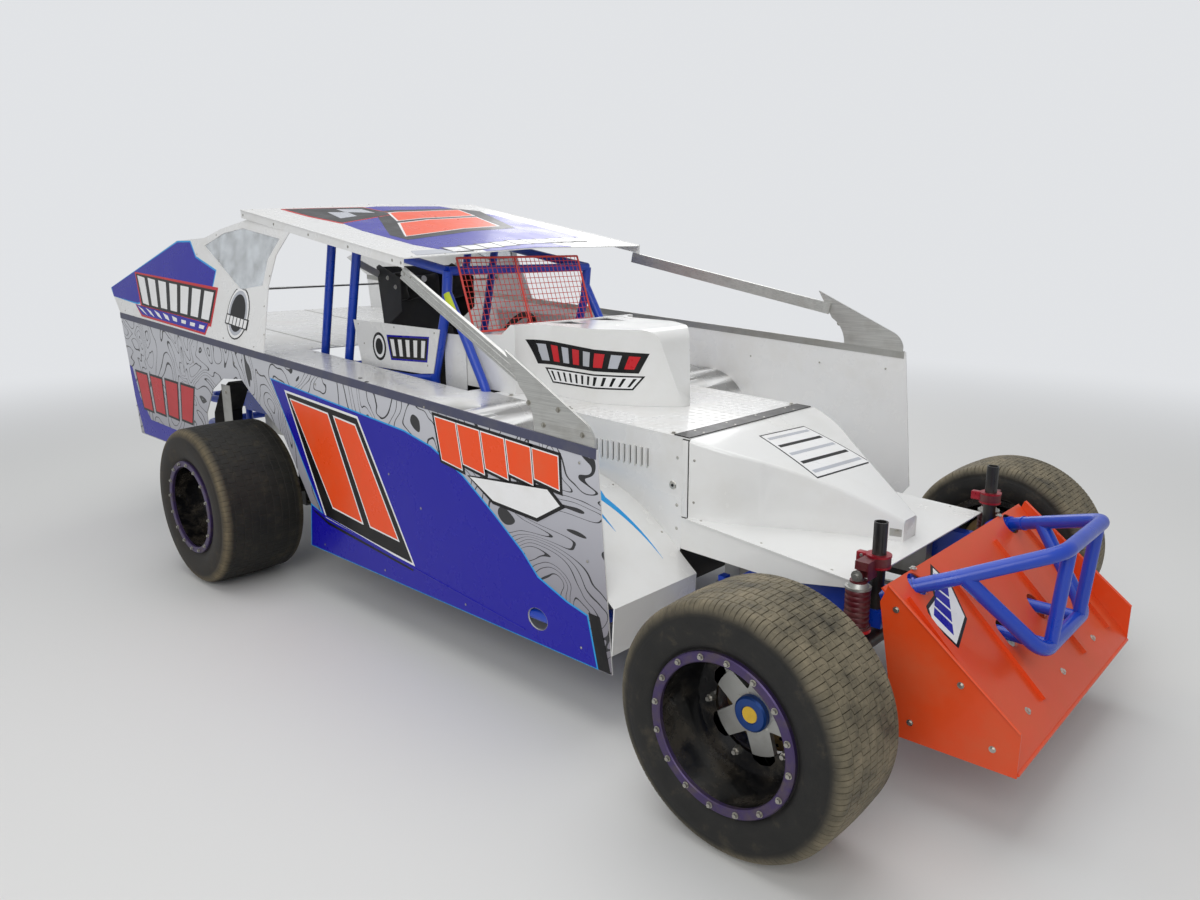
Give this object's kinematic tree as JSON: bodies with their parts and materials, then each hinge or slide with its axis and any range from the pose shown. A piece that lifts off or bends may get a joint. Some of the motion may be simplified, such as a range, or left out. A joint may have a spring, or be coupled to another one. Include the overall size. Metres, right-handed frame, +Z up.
{
  "type": "dirt modified race car",
  "caption": "Open-wheel dirt modified race car with flat side panels, sail panels, a low roof on posts, a tube cage, a front shovel and working steering.",
  "frame": {"origin": "on the ground under the middle of the car's length and width", "axes": "+X forward, +Y to the driver's left, +Z up"},
  "size_m": [4.9832, 2.2238, 1.6999],
  "materials": {
    "tyre_rubber": "matte, worn",
    "rim_black": "gloss black, dusty",
    "body_white": "gloss white",
    "body_blue": "gloss royal blue and white",
    "cockpit_white": "satin white",
    "clear_window": "clear polycarbonate",
    "frame_blue": "gloss blue powder coat",
    "shovel_orange": "gloss orange",
    "bright_aluminium": "brushed",
    "plain_aluminium": "mill finish",
    "dark_steel": "satin black",
    "plated_steel": "zinc plated",
    "engine_iron": "cast",
    "shock_red": "anodised dark red",
    "screen_red": "painted wire",
    "seat_black": "satin black",
    "wheel_grip": "moulded grip"
  },
  "bodies": {
    "chassis": {"door_plates": "body_white", "engine_block": "engine_iron", "engine_side_panels": "body_white", "floor_and_firewall": "plain_aluminium", "frame": "frame_blue", "frame_cross_members": "frame_blue", "front_axle": "dark_steel", "front_bumper": "frame_blue", "fuel_tank": "plain_aluminium", "hood_deck": "body_white", "hood_scoop": "body_white", "left_side_panel": "body_white", "nose": "body_white", "radiator": "plain_aluminium", "radius_rods": "plated_steel", "rear_axle": "dark_steel", "rear_bumper": "frame_blue", "rear_deck": "body_white", "right_side_panel": "body_blue", "roll_cage": "frame_blue", "roof": "body_white", "roof_posts": "bright_aluminium", "sail_panels": "body_blue", "sail_windows": "clear_window", "seat": "seat_black", "shock_posts": "dark_steel", "shocks": "shock_red", "shovel": "shovel_orange", "side_pods": "body_white", "side_rails": "frame_blue", "steering_box": "plain_aluminium", "wheel_wells": "cockpit_white", "windscreen_screen": "screen_red"},
    "right_knuckle": {"knuckle_right": "dark_steel"},
    "left_knuckle": {"knuckle_left": "dark_steel"},
    "front_right_wheel": {"tyre_front_right": "tyre_rubber", "wheel_front_right": "rim_black"},
    "front_left_wheel": {"tyre_front_left": "tyre_rubber", "wheel_front_left": "rim_black"},
    "rear_right_wheel": {"tyre_rear_right": "tyre_rubber", "wheel_rear_right": "rim_black"},
    "rear_left_wheel": {"tyre_rear_left": "tyre_rubber", "wheel_rear_left": "rim_black"},
    "track_rod": {"tie_rod": "plated_steel"},
    "pitman": {"pitman_arm": "dark_steel"},
    "drag_rod": {"drag_link": "plated_steel"},
    "hand_wheel": {"steering_wheel": "wheel_grip"},
    "lower_shaft": {"steering_shaft": "plated_steel"}
  },
  "joints": [
    {"name": "front_right_spin", "type": "hinge", "parent": "right_knuckle", "child": "front_right_wheel", "pos_m": [1.965, -0.88, 0.332], "axis": [0, 1, 0], "continuous": true},
    {"name": "front_left_spin", "type": "hinge", "parent": "left_knuckle", "child": "front_left_wheel", "pos_m": [1.965, 0.88, 0.332], "axis": [0, 1, 0], "continuous": true},
    {"name": "rear_right_spin", "type": "hinge", "parent": "chassis", "child": "rear_right_wheel", "pos_m": [-0.832, -0.925, 0.352], "axis": [0, 1, 0], "continuous": true},
    {"name": "rear_left_spin", "type": "hinge", "parent": "chassis", "child": "rear_left_wheel", "pos_m": [-0.832, 0.925, 0.352], "axis": [0, 1, 0], "continuous": true},
    {"name": "steer_right", "type": "hinge", "parent": "chassis", "child": "right_knuckle", "pos_m": [1.965, -0.69, 0.332], "axis": [0, 0, 1], "range_deg": [-25, 25]},
    {"name": "steer_left", "type": "hinge", "parent": "chassis", "child": "left_knuckle", "pos_m": [1.965, 0.69, 0.332], "axis": [0, 0, 1], "range_deg": [-25, 25]},
    {"name": "tie_rod_pin", "type": "hinge", "parent": "right_knuckle", "child": "track_rod", "pos_m": [1.805, -0.69, 0.263], "axis": [0, 0, 1], "range_deg": [-25, 25]},
    {"name": "pitman_turn", "type": "hinge", "parent": "chassis", "child": "pitman", "pos_m": [1.883, 0.279, 0.344], "axis": [0, 0, 1], "range_deg": [-25, 25]},
    {"name": "drag_link_pin", "type": "hinge", "parent": "pitman", "child": "drag_rod", "pos_m": [1.723, 0.279, 0.317], "axis": [0, 0, 1], "range_deg": [-25, 25]},
    {"name": "hand_wheel_turn", "type": "hinge", "parent": "chassis", "child": "hand_wheel", "pos_m": [0.073, 0.025, 1.005], "axis": [-0.8959, -0.3141, 0.3141], "range_deg": [-200, 200]},
    {"name": "lower_shaft_turn", "type": "hinge", "parent": "chassis", "child": "lower_shaft", "pos_m": [0.458, 0.16, 0.87], "axis": [-0.9364, -0.0882, 0.3396], "range_deg": [-200, 200]}
  ],
  "couplings": [
    {"joint": "rear_left_spin", "follows": "rear_right_spin", "ratio": 1},
    {"joint": "steer_left", "follows": "steer_right", "ratio": 1},
    {"joint": "tie_rod_pin", "follows": "steer_right", "ratio": -1},
    {"joint": "pitman_turn", "follows": "steer_right", "ratio": 1},
    {"joint": "drag_link_pin", "follows": "steer_right", "ratio": -1},
    {"joint": "hand_wheel_turn", "follows": "steer_right", "ratio": 8},
    {"joint": "lower_shaft_turn", "follows": "steer_right", "ratio": 8}
  ]
}
